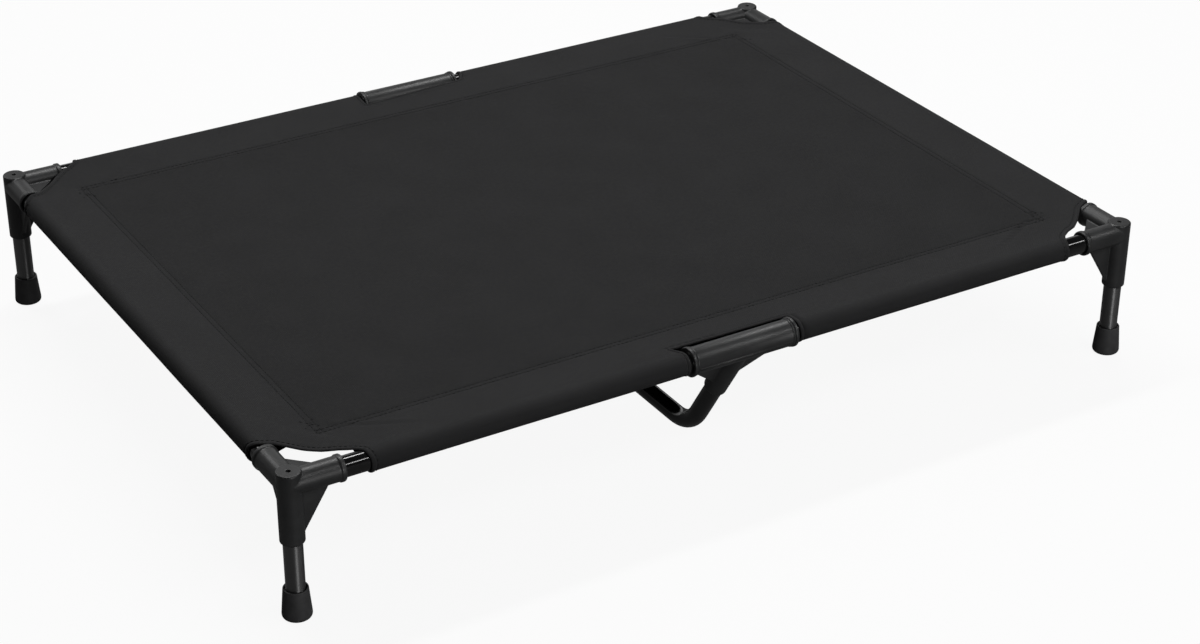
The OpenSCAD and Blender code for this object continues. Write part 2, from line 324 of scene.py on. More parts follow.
def round_corner(before, corner, after, radius, steps):
    """Points of a rounded corner in a turned profile."""
    towards = (Vector(before) - Vector(corner)).normalized() * radius
    away = (Vector(after) - Vector(corner)).normalized() * radius
    points = []
    for step in range(steps + 1):
        share = step / steps
        point = Vector(corner) + towards * (1 - share) ** 2 + away * share ** 2
        points.append((point.x, point.y))
    return points


def smooth_piece(name, shape):
    """Makes a piece of a worked shape, smooth and with its faces outwards."""
    bmesh.ops.recalc_face_normals(shape, faces=shape.faces)
    mesh = bpy.data.meshes.new(name)
    shape.to_mesh(mesh)
    shape.free()
    mesh.shade_smooth()
    return set_down(name, mesh)


def turned_piece(name, profile, turns, centre):
    """A closed ring of profile points, (radius, height), turned round an upright line at centre."""
    shape = bmesh.new()
    rings = []
    for radius, height in profile:
        if radius == 0.0:
            rings.append([shape.verts.new((centre[0], centre[1], height))])
            continue
        ring = []
        for turn in range(turns):
            angle = 2 * math.pi * turn / turns
            ring.append(shape.verts.new((
                centre[0] + radius * math.cos(angle), centre[1] + radius * math.sin(angle), height,
            )))
        rings.append(ring)
    for lower, upper in zip(rings, rings[1:]):
        for turn in range(turns):
            after = (turn + 1) % turns
            corners = [lower[turn % len(lower)], lower[after % len(lower)]]
            corners += [upper[after % len(upper)], upper[turn % len(upper)]]
            face = list(dict.fromkeys(corners))
            shape.faces.new(face)
    return smooth_piece(name, shape)


sole_edge = (foot_r, 0.0)
rim_edge = (foot_rim_r, foot_h)
mouth_edge = (foot_bore_r + mouth_flare, foot_h)
mouth_end = (foot_bore_r, foot_h - mouth_deep)
foot_profile = [(0.0, dish_deep), (dish_r, dish_deep), (dish_edge_r, dish_edge_deep)]
foot_profile += [(sole_in_r, 0.0), (sole_out_r, 0.0)]
foot_profile += round_corner((sole_out_r, 0.0), sole_edge, rim_edge, foot_round, foot_round_steps)
foot_profile += round_corner(sole_edge, rim_edge, mouth_edge, foot_rim_round, foot_rim_steps)
foot_profile += round_corner(rim_edge, mouth_edge, mouth_end, mouth_round, mouth_steps)
foot_profile += [mouth_end, (foot_bore_r, foot_floor), (0.0, foot_floor)]
for corner_place in corner_places:
    foot_low, foot_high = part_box(f"foot_{corner_place}")
    middle = (foot_low + foot_high) / 2
    foot = turned_piece(f"foot_cup_{corner_place}", foot_profile, foot_turns, middle)
    foot.data.materials.append(foot_rubber)
    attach(foot, f"{corner_place}_leg")
    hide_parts(f"foot_{corner_place}")


# Centre connectors: two longer mouldings in the same plastic, a barrel with a collar at each end that
# joins the two halves of a long rail, and a sloping socket with two fins that takes the brace bar. A
# fine ridge runs along the outside of the barrel, where the mould parts.
rail_y = 0.31055
rail_z = 0.1264
barrel_half = 0.0535
barrel_r = 0.01208
barrel_bore_r = 0.00915
ring_r = 0.01335
bead_r = 0.01275
groove_r = 0.0122
ring_w = 0.0032
groove_w = 0.0008
bead_w = 0.0013
edge_gap = 0.0004
bead_round = 0.0005
bead_back_round = 0.0004
groove_round = 0.0002
ring_round = 0.0011
bead_steps = 4
groove_steps = 3
ring_steps = 6
barrel_turns = 120
shave_r = 0.0116
shave_spare = 0.0006
shave_from = barrel_half - ring_w - groove_w - bead_w - shave_spare
ridge_angle = math.radians(15.6)
ridge_high = 0.0008
ridge_half_w = 0.0005
centre_skin = 0.00045
centre_rounding = 3
centre_kept = 0.3


def shave_barrel(piece, axis_y, axis_z):
    """Takes the plain collars off a copied connector, so that turned ones can take their place."""
    furthest = ring_r + shave_spare
    for vertex in piece.data.vertices:
        aside = Vector((vertex.co.y - axis_y, vertex.co.z - axis_z))
        if abs(vertex.co.x) > shave_from and shave_r < aside.length < furthest:
            aside *= shave_r / aside.length
            vertex.co.y = axis_y + aside.x
            vertex.co.z = axis_z + aside.y


def barrel_profile():
    """Half of the barrel's outline, (radius, place along it), from the middle to the mouth and the bore."""
    ring_start = barrel_half - ring_w
    bead_start = ring_start - groove_w - bead_w
    bead_end = bead_start + bead_w
    groove_end = ring_start - edge_gap
    corners = [
        ((barrel_r, bead_start), (bead_r, bead_start), (bead_r, ring_start), bead_round, bead_steps),
        ((bead_r, bead_start), (bead_r, bead_end), (groove_r, ring_start), bead_back_round, bead_steps),
        ((bead_r, ring_start), (groove_r, groove_end), (ring_r, ring_start), groove_round, groove_steps),
        ((groove_r, ring_start), (ring_r, ring_start), (ring_r, barrel_half), ring_round, ring_steps),
        ((ring_r, ring_start), (ring_r, barrel_half), (barrel_bore_r, barrel_half), ring_round, ring_steps),
    ]
    points = [(barrel_r, 0.0), (barrel_r, bead_start - edge_gap)]
    for before, corner_point, after, radius, steps in corners:
        points += round_corner(before, corner_point, after, radius, steps)
    points += [(barrel_bore_r + edge_gap, barrel_half), (barrel_bore_r, barrel_half - edge_gap)]
    return points + [(barrel_bore_r, 0.0)]


def along_rail(piece, axis_y, axis_z):
    """Lays an upright turned piece along the rail at that place."""
    piece.data.transform(Matrix.Translation((0.0, axis_y, axis_z)) @ Matrix.Rotation(math.pi / 2, 4, "Y"))


def mould_ridge(name, axis_y, axis_z, outwards):
    """The low rounded ridge along the outside of the barrel."""
    section_steps = 10
    shape = bmesh.new()
    rings = []
    for end in (-shave_from, shave_from):
        ring = []
        for step in range(section_steps):
            angle = 2 * math.pi * step / section_steps
            reach = barrel_r + ridge_high * math.cos(angle)
            drop = ridge_angle + ridge_half_w * math.sin(angle) / barrel_r
            place = (end, axis_y + outwards * reach * math.cos(drop), axis_z - reach * math.sin(drop))
            ring.append(shape.verts.new(place))
        rings.append(ring)
    for step in range(section_steps):
        after = (step + 1) % section_steps
        shape.faces.new((rings[0][step], rings[0][after], rings[1][after], rings[1][step]))
    shape.faces.new(rings[0])
    shape.faces.new(rings[1])
    return smooth_piece(name, shape)


half_outline = barrel_profile()
barrel_outline = [(radius, -along) for radius, along in reversed(half_outline[1:-1])] + half_outline
barrel_outline.append(barrel_outline[0])
for side, outwards in (("front", -1), ("rear", 1)):
    axis_y = outwards * rail_y
    solid = f"{side}_centre_connector"
    centre = moulded_copy(f"centre_moulding_{side}", solid, centre_skin, centre_rounding, centre_kept)
    shave_barrel(centre, axis_y, rail_z)
    barrel = turned_piece(f"barrel_{side}", barrel_outline, barrel_turns, (0.0, 0.0))
    along_rail(barrel, axis_y, rail_z)
    ridge = mould_ridge(f"barrel_ridge_{side}", axis_y, rail_z, outwards)
    for piece in (centre, barrel, ridge):
        piece.data.materials.clear()
        piece.data.materials.append(connector_plastic)
        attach(piece, "frame")
    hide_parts(f"{side}_centre_connector")


# Sling: one piece of black plain-woven cloth, cut flat with its corners off and a slot at each long
# side, folded round the rails and sewn down in a double seam, so that each side is a pocket on its rail.
rail_x = 0.42512
cloth_t = 0.0009
wrap_r = 0.0098
seam_in = 0.047
panel_z = 0.0043
hem_z = 0.0033
hem_w = 0.008
panel_x = rail_x - seam_in
panel_y = rail_y - seam_in
upper_angle = math.atan2(panel_z, seam_in) + math.acos(wrap_r / math.hypot(seam_in, panel_z))
lower_angle = 2 * math.pi + math.atan2(hem_z, seam_in) - math.acos(wrap_r / math.hypot(seam_in, hem_z))
touch_in = wrap_r * math.cos(upper_angle)
touch_z = wrap_r * math.sin(upper_angle)
under_in = wrap_r * math.cos(lower_angle)
under_z = wrap_r * math.sin(lower_angle)
upper_l = math.sqrt(seam_in ** 2 + panel_z ** 2 - wrap_r ** 2)
round_l = wrap_r * (lower_angle - upper_angle)
lower_l = math.sqrt(seam_in ** 2 + hem_z ** 2 - wrap_r ** 2)
flap_l = upper_l + round_l + lower_l + hem_w
half_x = panel_x + flap_l
half_y = panel_y + flap_l
seam_rows = [-0.0015, -0.0065]
sag = 0.0018


def fold(past_seam):
    """Where cloth lies that far past a seam: inwards from the rail's middle, and above it."""
    if past_seam <= upper_l:
        share = past_seam / upper_l
        return seam_in + (touch_in - seam_in) * share, panel_z + (touch_z - panel_z) * share
    if past_seam <= upper_l + round_l:
        angle = upper_angle + (past_seam - upper_l) / wrap_r
        return wrap_r * math.cos(angle), wrap_r * math.sin(angle)
    if past_seam <= upper_l + round_l + lower_l:
        share = (past_seam - upper_l - round_l) / lower_l
        return under_in + (seam_in - under_in) * share, under_z + (hem_z - under_z) * share
    return seam_in + past_seam - upper_l - round_l - lower_l, hem_z


def soft_rise(past_seam, softness=0.0034, lead=0.005, straight_after=8):
    """How far the upper layer climbs from a little inside the seam to the rail, eased in softly."""
    reach = past_seam + lead
    if reach > straight_after * softness:
        eased = reach
    else:
        eased = softness * math.log1p(math.exp(reach / softness))
    return (touch_z - panel_z) * eased / (upper_l + lead)


def soft_larger(first, second, softness=0.0005):
    """The larger of two heights, without a crease where they meet."""
    gap = abs(first - second)
    return max(first, second) + softness * math.log1p(math.exp(-gap / softness))


dip_deep = 0.0005
dip_reach = 0.0016
pucker_least = 0.6
pucker_more = 0.8
pucker_along = 130.0
pucker_across = 40.0
pucker_layer = 7.1


def sewn_dip(past_seam, along):
    """How far the stitches pull the cloth down beside a row, with small puckers between them."""
    dip = 0.0
    for row in seam_rows:
        dip += math.exp(-((past_seam - row) / dip_reach) ** 2)
    pucker = noise.noise((along * pucker_along, past_seam * pucker_across, pucker_layer))
    return dip_deep * dip * (pucker_least + pucker_more * pucker)


fold_from = 0.040
fold_fade = 0.026
fold_reach = 0.075
fold_high = 0.0018
fold_along = 16.0
fold_across = 80.0
fold_layer_x = 3.0
fold_layer_y = 1.7


def corner_folds(x, y):
    """Fine folds beside a cut corner, which run from rail to rail with the pull of the hem."""
    corner_x = rail_x - abs(x)
    corner_y = rail_y - abs(y)
    outwards = (corner_x + corner_y) / math.sqrt(2)
    across = (corner_x - corner_y) / math.sqrt(2)
    pull = math.exp(-max(0.0, outwards - fold_from) / fold_fade) * math.exp(-(across / fold_reach) ** 2)
    layer = math.copysign(fold_layer_x, x) + math.copysign(fold_layer_y, y)
    return fold_high * pull * noise.noise((across * fold_along, outwards * fold_across, layer))


def crease(x, y, start, end, width, depth):
    """One sharp fold from the corner of the seams to the rail, deepest in the middle."""
    way = Vector(end) - Vector(start)
    offset = Vector((x, y)) - Vector(start)
    share = offset.dot(way) / way.length_squared
    if not 0.0 < share < 1.0:
        return 0.0
    aside = offset.cross(way) / way.length
    raised = math.exp(-(aside / width) ** 2)
    sunk = math.exp(-((aside - width) / width) ** 2)
    return depth * math.sin(math.pi * share) * (raised - sunk)


wave_high = 0.00035
wave_rate = 6.0
wave_layer = 0.3
fine_wave_high = 0.00012
fine_wave_rate = 21.0
fine_wave_layer = 2.3
crease_start = (0.373, 0.246)
crease_end = (0.289, 0.294)
crease_w = 0.0024
crease_deep = 0.0009


def ripple(x, y):
    """Small unevenness of the stretched cloth: slack in the middle, pulled folds near the corners."""
    bowl = max(0.0, 1 - (x / panel_x) ** 2) * max(0.0, 1 - (y / panel_y) ** 2)
    height = -sag * bowl
    height += wave_high * noise.noise((x * wave_rate, y * wave_rate, wave_layer))
    height += fine_wave_high * noise.noise((x * fine_wave_rate, y * fine_wave_rate, fine_wave_layer))
    height += corner_folds(x, y)
    height += crease(abs(x), abs(y), crease_start, crease_end, crease_w, crease_deep)
    return height


loose_high = 0.0005
loose_along = 9.0
loose_round = 160.0
loose_layer = 5.5
loose_side = 2.0
row_past = 0.004
hold_l = 0.012


def place_cloth(u, v):
    """The place in the frame of a point of the flat cloth."""
    past_x = abs(u) - panel_x
    past_y = abs(v) - panel_y
    x = u
    y = v
    if past_x > 0:
        x = math.copysign(rail_x - fold(past_x)[0], u)
    if past_y > 0:
        y = math.copysign(rail_y - fold(past_y)[0], v)
    past = max(past_x, past_y)
    if past > upper_l:
        z = fold(past)[1]
        if past < upper_l + round_l:
            along = u if past_y > past_x else v
            layer = loose_layer + math.copysign(loose_side, u + v)
            loose = 0.5 + 0.5 * noise.noise((along * loose_along, past * loose_round, layer))
            swell = 1 + loose_high * loose * math.sin(math.pi * (past - upper_l) / round_l) / wrap_r
            z *= swell
            if past_y > past_x:
                y = math.copysign(rail_y - fold(past_y)[0] * swell, v)
            else:
                x = math.copysign(rail_x - fold(past_x)[0] * swell, u)
    else:
        z = panel_z + soft_larger(soft_rise(past_x), soft_rise(past_y)) + ripple(x, y)
        if past_y < row_past:
            z -= sewn_dip(past_x, v)
        if past_x < row_past:
            z -= sewn_dip(past_y, u)
        held = min(1.0, (upper_l - past) / hold_l)
        crest = fold(max(past, 0.0))[1]
        z = crest + (z - crest) * held * held * (3 - 2 * held)
    return Vector((x, y, rail_z + z))


def cloth_up(u, v, step=0.0004):
    """The direction out of the upper face at a point of the flat cloth."""
    along_u = place_cloth(u + step, v) - place_cloth(u - step, v)
    along_v = place_cloth(u, v + step) - place_cloth(u, v - step)
    return along_u.cross(along_v).normalized()


def flat_out(inwards):
    """How far past its seam the flat cloth is at a plan distance inwards from a rail's middle."""
    if inwards >= touch_in:
        return upper_l * (seam_in - inwards) / (seam_in - touch_in)
    angle = math.acos(max(-1.0, inwards / wrap_r))
    return upper_l + wrap_r * (angle - upper_angle)


def even_line(points, spacing):
    """Points at an even spacing along a line of points, with both ends kept."""
    line = []
    for start, end in zip(points, points[1:]):
        start = Vector(start)
        end = Vector(end)
        steps = max(1, round((end - start).length / spacing))
        line += [tuple(start.lerp(end, step / steps)) for step in range(steps)]
    line.append(tuple(points[-1]))
    return line


# The cut edges across the corners, as inward distances from the end rail and from the long rail
corner_lines = {
    -1: [
        (-0.0085, 0.0562), (-0.005, 0.0525), (0.0, 0.0490), (0.004, 0.0476),
        (0.008, 0.0463), (0.013, 0.0418), (0.026, 0.0290), (0.038, 0.0195),
        (0.050, 0.0140), (0.0595, 0.0075), (0.0655, 0.0), (0.0680, -0.0085),
    ],
    1: [
        (-0.0085, 0.0560), (-0.005, 0.0523), (0.0, 0.0488), (0.004, 0.0475),
        (0.008, 0.0463), (0.013, 0.0418), (0.026, 0.0290), (0.036, 0.0185),
        (0.044, 0.0120), (0.0510, 0.0075), (0.0600, 0.0), (0.0630, -0.0085),
    ],
}
# The edge of each slot in the upper layer and over the crest, as places along the rail and inwards from it
slot_lines = {
    -1: [(-0.0590, 0.0015), (-0.0660, 0.0158), (0.0605, 0.0142), (0.0597, 0.0015)],
    1: [(-0.0590, 0.0015), (-0.0590, 0.0215), (-0.0200, 0.0190), (0.0565, 0.0148), (0.0640, 0.0015)],
}
slot_under = 0.018
slot_round = 0.0045
slot_round_steps = 8


def corner_edge(side_x, side_y):
    """The cut edge at one corner in the flat, from the end rail's flap to the long rail's flap."""
    points = []
    for from_end, from_long in corner_lines[side_y]:
        u = panel_x + flat_out(from_end)
        v = panel_y + flat_out(from_long)
        points.append((side_x * u, side_y * v))
    first_v = points[0][1]
    last_u = points[-1][0]
    edge = [(side_x * half_x, first_v)] + points + [(last_u, side_y * half_y)]
    return list(reversed(edge)) if side_x * side_y < 0 else edge


def slot_edge(side_y):
    """The slot for a centre connector in the flat: a long hole across the fold and on under the rail."""
    upper = [(x, panel_y + flat_out(inwards)) for x, inwards in slot_lines[side_y]]
    far = panel_y + upper_l + round_l + slot_under
    corners = [(upper[0][0], far), *upper, (upper[-1][0], far)]
    points = []
    for index, corner_point in enumerate(corners):
        before = corners[index - 1]
        after = corners[(index + 1) % len(corners)]
        points += round_corner(before, corner_point, after, slot_round, slot_round_steps)
    return [(x, side_y * y) for x, y in reversed(points)]


seam_band_in = 0.011
seam_band_out = 0.0025
panel_step = 0.0068
seam_step = 0.0011
flap_step = 0.0028
bend_step = 0.0015
under_step = 0.0056


def crossing_lines(half, panel):
    """Grid lines of the flat cloth across one direction, close together where it bends."""
    seam_start = panel - seam_band_in
    seam_end = panel + seam_band_out
    bend_start = panel + upper_l
    bend_end = panel + upper_l + round_l
    bands = [
        (0.0, seam_start, panel_step), (seam_start, seam_end, seam_step), (seam_end, bend_start, flap_step),
        (bend_start, bend_end, bend_step), (bend_end, half, under_step),
    ]
    lines = []
    for start, end, spacing in bands:
        steps = max(1, round((end - start) / spacing))
        lines += [start + (end - start) * step / steps for step in range(steps)]
    lines.append(half)
    return [-line for line in reversed(lines[1:])] + lines


def inside_loop(point, loop):
    """Whether a flat point lies inside a closed line of points."""
    inside = False
    for (start_x, start_y), (end_x, end_y) in zip(loop, loop[1:] + loop[:1]):
        if (start_y > point.y) != (end_y > point.y):
            share = (point.y - start_y) / (end_y - start_y)
            if point.x < start_x + (end_x - start_x) * share:
                inside = not inside
    return inside


def cut_cloth(outline, slots):
    """Points and triangles of the flat cloth inside its outline and outside its slots."""
    cell = 0.001
    points = []
    rims = []
    for loop in [outline, *slots]:
        first = len(points)
        points += [Vector(point) for point in loop]
        rims += [(first + step, first + (step + 1) % len(loop)) for step in range(len(loop))]
    taken = {(round(point.x / cell), round(point.y / cell)) for point in points}
    for u in crossing_lines(half_x, panel_x):
        for v in crossing_lines(half_y, panel_y):
            cell_u = round(u / cell)
            cell_v = round(v / cell)
            near = any((cell_u + du, cell_v + dv) in taken for du in (-1, 0, 1) for dv in (-1, 0, 1))
            if not near:
                points.append(Vector((u, v)))
    inside_triangles = 1
    same_place = 0.0000001
    made = geometry.delaunay_2d_cdt(points, rims, [], inside_triangles, same_place)
    triangles = []
    for triangle in made[2]:
        middle = sum((made[0][corner] for corner in triangle), Vector((0.0, 0.0))) / 3
        if not any(inside_loop(middle, loop) for loop in slots):
            triangles.append(triangle)
    return made[0], triangles


def cloth_piece(name, points, flat_places, faces):
    """A cloth mesh object whose map holds each point's place on the flat cloth."""
    mesh = bpy.data.meshes.new(name)
    mesh.from_pydata(points, [], faces)
    flat_map = mesh.uv_layers.new(name="flat_cloth")
    for loop in mesh.loops:
        flat_map.data[loop.index].uv = flat_places[loop.vertex_index]
    mesh.shade_smooth()
    return set_down(name, mesh)


corner_edge_step = 0.0024
outline_step = 0.0030
slot_edge_step = 0.0022
corner_edges = {}
cut_outline = []
for corner_place, side_x, side_y in (
    ("front_left", -1, -1), ("front_right", 1, -1), ("rear_right", 1, 1), ("rear_left", -1, 1),
):
    corner_edges[corner_place] = even_line(corner_edge(side_x, side_y), corner_edge_step)
    cut_outline += corner_edges[corner_place]
cut_outline = even_line(cut_outline + cut_outline[:1], outline_step)[:-1]
slot_edges = {}
for side, side_y in (("front", -1), ("rear", 1)):
    hole = slot_edge(side_y)
    slot_edges[side] = even_line(hole + hole[:1], slot_edge_step)[:-1]
flat_points, flat_faces = cut_cloth(cut_outline, list(slot_edges.values()))
flat_area = 0.0
for first, second, third in flat_faces:
    along = flat_points[second] - flat_points[first]
    across = flat_points[third] - flat_points[first]
    flat_area += abs(along.cross(across)) / 2
cloth_points = [place_cloth(point.x, point.y) for point in flat_points]
sling = cloth_piece("sling_cloth", cloth_points, flat_points, flat_faces)
thicken = sling.modifiers.new("thickness", "SOLIDIFY")
thicken.thickness = cloth_t
thicken.offset = 0.0
settled_mesh(sling)

cloth_dark = (0.0147, 0.0147, 0.0151)
cloth_light = (0.0232, 0.0232, 0.0239)
cloth_rough = (0.58, 0.72)
yarn_pitch = 0.0011
slub_size = 0.004
cloud_size = 0.055
weave_deep = 0.0001
weave_share = 0.15
# The bands past the seams are coloured lighter: partly the doubled cloth, partly painted light for the light
# the sloping bands catch.
lit_doubled_share = 0.5
lit_doubled_from = -0.009
lit_doubled_to = 0.002
woven_cloth, cloth_shader, cloth_place = new_finish("woven_cloth", "UV")
thread_wave = math.pi / yarn_pitch
warp_way = cloth_place.make("ShaderNodeSeparateXYZ", {"Vector": cloth_place}, result="X")
weft_way = cloth_place.make("ShaderNodeSeparateXYZ", {"Vector": cloth_place}, result="Y")
warp = warp_way.sum("SINE", warp_way * thread_wave)
weft = weft_way.sum("SINE", weft_way * thread_wave)
over = warp.sum("GREATER_THAN", warp * weft, 0.0)
weave = over * abs(warp) + (1 - over) * abs(weft)
beyond_seam = warp_way.sum("MAXIMUM", abs(warp_way) - panel_x, abs(weft_way) - panel_y)
# Lighter bands past the seams: partly the doubled cloth, partly painted light on the sloping bands.
lit_doubled_band = beyond_seam.spread(0.0, 1.0, lit_doubled_from, lit_doubled_to)
slub = cloth_place.speckle(slub_size, detail=3.0, rough=0.6)
cloud = cloth_place.speckle(cloud_size, detail=4.0, rough=0.55)
cloth_shade = cloud.spread(0.1, 0.5) + weave * weave_share
cloth_shade += slub.spread(-0.08, 0.08) + lit_doubled_band * lit_doubled_share
cloth_shader.inputs["IOR"].default_value = 1.45
cloth_shader.inputs["Specular IOR Level"].default_value = 0.08
cloth_shader.inputs["Sheen Weight"].default_value = 0.03
cloth_shader.inputs["Sheen Roughness"].default_value = 0.4
feed(
    cloth_shader,
    Base_Color=cloth_shade.tint(cloth_dark, cloth_light),
    Roughness=slub.spread(*cloth_rough),
    Normal=cloth_place.relief(weave + 0.5 * slub, weave_deep),
)


# Hems: the cut edges at the corners and round the slots are rolled over and sewn, so each ends in a
# narrow round roll of doubled cloth that stands a little proud of the sling.
corner_hem_half_w = 0.0021
corner_hem_half_t = 0.0012
slot_hem_half_w = 0.0017
slot_hem_half_t = 0.0011
roll_shift = 0.7
hem_skip = 8


def edge_roll(name, line, closed, cloth_side, half_w, half_t):
    """A flat-oval roll along a cut edge of the cloth. cloth_side is 1 where the cloth lies to the left."""
    section_steps = 12
    points = []
    flat_places = []
    count = len(line)
    for index, point in enumerate(line):
        before = Vector(line[index - 1] if closed or index > 0 else point)
        after = Vector(line[(index + 1) % count] if closed or index < count - 1 else point)
        way = (after - before).normalized()
        inwards = Vector((-way.y, way.x)) * cloth_side
        for step in range(section_steps):
            angle = 2 * math.pi * step / section_steps
            spot = Vector(point) + inwards * half_w * (roll_shift + math.cos(angle))
            rise = cloth_up(spot.x, spot.y) * (half_t * math.sin(angle))
            points.append(place_cloth(spot.x, spot.y) + rise)
            flat_places.append((spot.x, spot.y + half_t * math.sin(angle)))
    faces = []
    for index in range(count if closed else count - 1):
        here = index * section_steps
        there = (index + 1) % count * section_steps
        for step in range(section_steps):
            following = (step + 1) % section_steps
            faces.append((here + step, here + following, there + following, there + step))
    if not closed:
        faces.append(tuple(range(section_steps)))
        faces.append(tuple(range((count - 1) * section_steps, count * section_steps)))
    roll = cloth_piece(name, points, flat_places, faces)
    shape = bmesh.new()
    shape.from_mesh(roll.data)
    bmesh.ops.recalc_face_normals(shape, faces=shape.faces)
    shape.to_mesh(roll.data)
    shape.free()
    return roll


hems = []
for corner_place, edge in corner_edges.items():
    rolled = edge[hem_skip:-hem_skip]
    hem_name = f"corner_hem_{corner_place}"
    hems.append(edge_roll(hem_name, rolled, False, 1, corner_hem_half_w, corner_hem_half_t))
for side, edge in slot_edges.items():
    cloth_side = -1 if side == "rear" else 1
    hems.append(edge_roll(f"slot_hem_{side}", edge, True, cloth_side, slot_hem_half_w, slot_hem_half_t))


# Stitching: black sewing thread in a double row along each seam, which ends in a short crossed tack
# at the corners, and one row beside each corner hem. Every stitch is a short bead of thread on the cloth.
stitch_pitch = 0.0042
stitch_l = 0.0032
thread_w = 0.00085
thread_lift = 0.00005
row_step = 0.004
row_end = 0.004
tack_half = 0.0055
tack_in_x = 0.002
tack_in_y = 0.0185
tack_step = 0.002
hem_row_in = 0.0048
bead_sides = 8
bead_rings = 5
unit_bead_r = 0.5


def stitch_tree():
    """Nodes that lay one stitch after another along a line of edges."""
    tree = bpy.data.node_groups.new("running_stitch", "GeometryNodeTree")
    sockets = {}
    for name, kind, way in (
        ("Seam lines", "NodeSocketGeometry", "INPUT"), ("Stitch pitch", "NodeSocketFloat", "INPUT"),
        ("Stitch length", "NodeSocketFloat", "INPUT"), ("Thread width", "NodeSocketFloat", "INPUT"),
        ("Thread finish", "NodeSocketMaterial", "INPUT"), ("Stitches", "NodeSocketGeometry", "OUTPUT"),
    ):
        sockets[name] = tree.interface.new_socket(name=name, in_out=way, socket_type=kind).identifier
    start = tree.nodes.new("NodeGroupInput")
    end = tree.nodes.new("NodeGroupOutput")
    line = tree.nodes.new("GeometryNodeMeshToCurve")
    spots = tree.nodes.new("GeometryNodeResampleCurve")
    spots.mode = "LENGTH"
    way = tree.nodes.new("GeometryNodeInputTangent")
    turn = tree.nodes.new("FunctionNodeAlignRotationToVector")
    turn.axis = "X"
    bead = tree.nodes.new("GeometryNodeMeshUVSphere")
    bead.inputs["Segments"].default_value = bead_sides
    bead.inputs["Rings"].default_value = bead_rings
    bead.inputs["Radius"].default_value = unit_bead_r
    size = tree.nodes.new("ShaderNodeCombineXYZ")
    sew = tree.nodes.new("GeometryNodeInstanceOnPoints")
    solid = tree.nodes.new("GeometryNodeRealizeInstances")
    paint = tree.nodes.new("GeometryNodeSetMaterial")
    for source, target in (
        (start.outputs["Seam lines"], line.inputs["Mesh"]), (line.outputs["Curve"], spots.inputs["Curve"]),
        (start.outputs["Stitch pitch"], spots.inputs["Length"]),
        (way.outputs["Tangent"], turn.inputs["Vector"]),
        (start.outputs["Stitch length"], size.inputs["X"]),
        (start.outputs["Thread width"], size.inputs["Y"]),
        (start.outputs["Thread width"], size.inputs["Z"]), (spots.outputs["Curve"], sew.inputs["Points"]),
        (bead.outputs["Mesh"], sew.inputs["Instance"]), (turn.outputs["Rotation"], sew.inputs["Rotation"]),
        (size.outputs["Vector"], sew.inputs["Scale"]), (sew.outputs["Instances"], solid.inputs["Geometry"]),
        (solid.outputs["Geometry"], paint.inputs["Geometry"]),
        (start.outputs["Thread finish"], paint.inputs["Material"]),
        (paint.outputs["Geometry"], end.inputs["Stitches"]),
    ):
        tree.links.new(source, target)
    return tree, sockets


def sewn_line(flat_line):
    """Places just on top of the cloth along a flat line."""
    lift = cloth_t / 2 + thread_lift
    return [place_cloth(u, v) + cloth_up(u, v) * lift for u, v in flat_line]


def inset_line(line, cloth_side, inset):
    """A line beside a cut edge, that far into the cloth."""
    moved = []
    for before, point, after in zip(line, line[1:], line[2:]):
        way = (Vector(after) - Vector(before)).normalized()
        inwards = Vector((-way.y, way.x)) * cloth_side
        moved.append(tuple(Vector(point) + inwards * inset))
    return moved


reach_x = panel_x - row_end
reach_y = panel_y - row_end
flat_rows = []
for row in seam_rows:
    for flip in (-1, 1):
        seam_v = flip * (panel_y + row)
        seam_u = flip * (panel_x + row)
        flat_rows.append(even_line([(-reach_x, seam_v), (reach_x, seam_v)], row_step))
        flat_rows.append(even_line([(seam_u, -reach_y), (seam_u, reach_y)], row_step))
for flip_x in (-1, 1):
    for flip_y in (-1, 1):
        u = flip_x * (panel_x - tack_in_x)
        v = flip_y * (panel_y - tack_in_y)
        low_v = v - tack_half
        high_v = v + tack_half
        flat_rows.append(even_line([(u - tack_half, low_v), (u + tack_half, high_v)], tack_step))
        flat_rows.append(even_line([(u + tack_half, low_v), (u - tack_half, high_v)], tack_step))
for edge in corner_edges.values():
    flat_rows.append(inset_line(edge[hem_skip:-hem_skip], 1, hem_row_in))
seam_points = []
seam_edges = []
for flat_row in flat_rows:
    first = len(seam_points)
    seam_points += sewn_line(flat_row)
    seam_edges += [(first + step, first + step + 1) for step in range(len(flat_row) - 1)]
seam_mesh = bpy.data.meshes.new("sling_stitching")
seam_mesh.from_pydata(seam_points, seam_edges, [])
stitching = set_down("sling_stitching", seam_mesh)

thread_dark = (0.0075, 0.0075, 0.0078)
thread_light = (0.0145, 0.0145, 0.015)
thread_rough = (0.42, 0.6)
twist_size = 0.0006
twist_deep = 0.00006
sewing_thread, thread_shader, thread_place = new_finish("sewing_thread")
thread_shader.inputs["IOR"].default_value = 1.5
thread_shader.inputs["Specular IOR Level"].default_value = 0.1
twist = thread_place.speckle(twist_size)
feed(
    thread_shader,
    Base_Color=twist.spread(0.0, 1.0).tint(thread_dark, thread_light),
    Roughness=twist.spread(*thread_rough),
    Normal=thread_place.relief(twist, twist_deep),
)
sewing, sewing_sockets = stitch_tree()
laid = stitching.modifiers.new("stitches", "NODES")
laid.node_group = sewing
laid[sewing_sockets["Stitch pitch"]] = stitch_pitch
laid[sewing_sockets["Stitch length"]] = stitch_l
laid[sewing_sockets["Thread width"]] = thread_w
laid[sewing_sockets["Thread finish"]] = sewing_thread
settled_mesh(stitching)
stitching.data.shade_smooth()
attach(stitching, "frame")

for cloth in [sling, *hems]:
    cloth.data.materials.append(woven_cloth)
    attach(cloth, "frame")
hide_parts("sling")
held_by = ["front_rail_left", "front_rail_right", "rear_rail_left", "rear_rail_right"]
held_by += ["left_end_rail", "right_end_rail"]
2 * half_y
2 * half_x


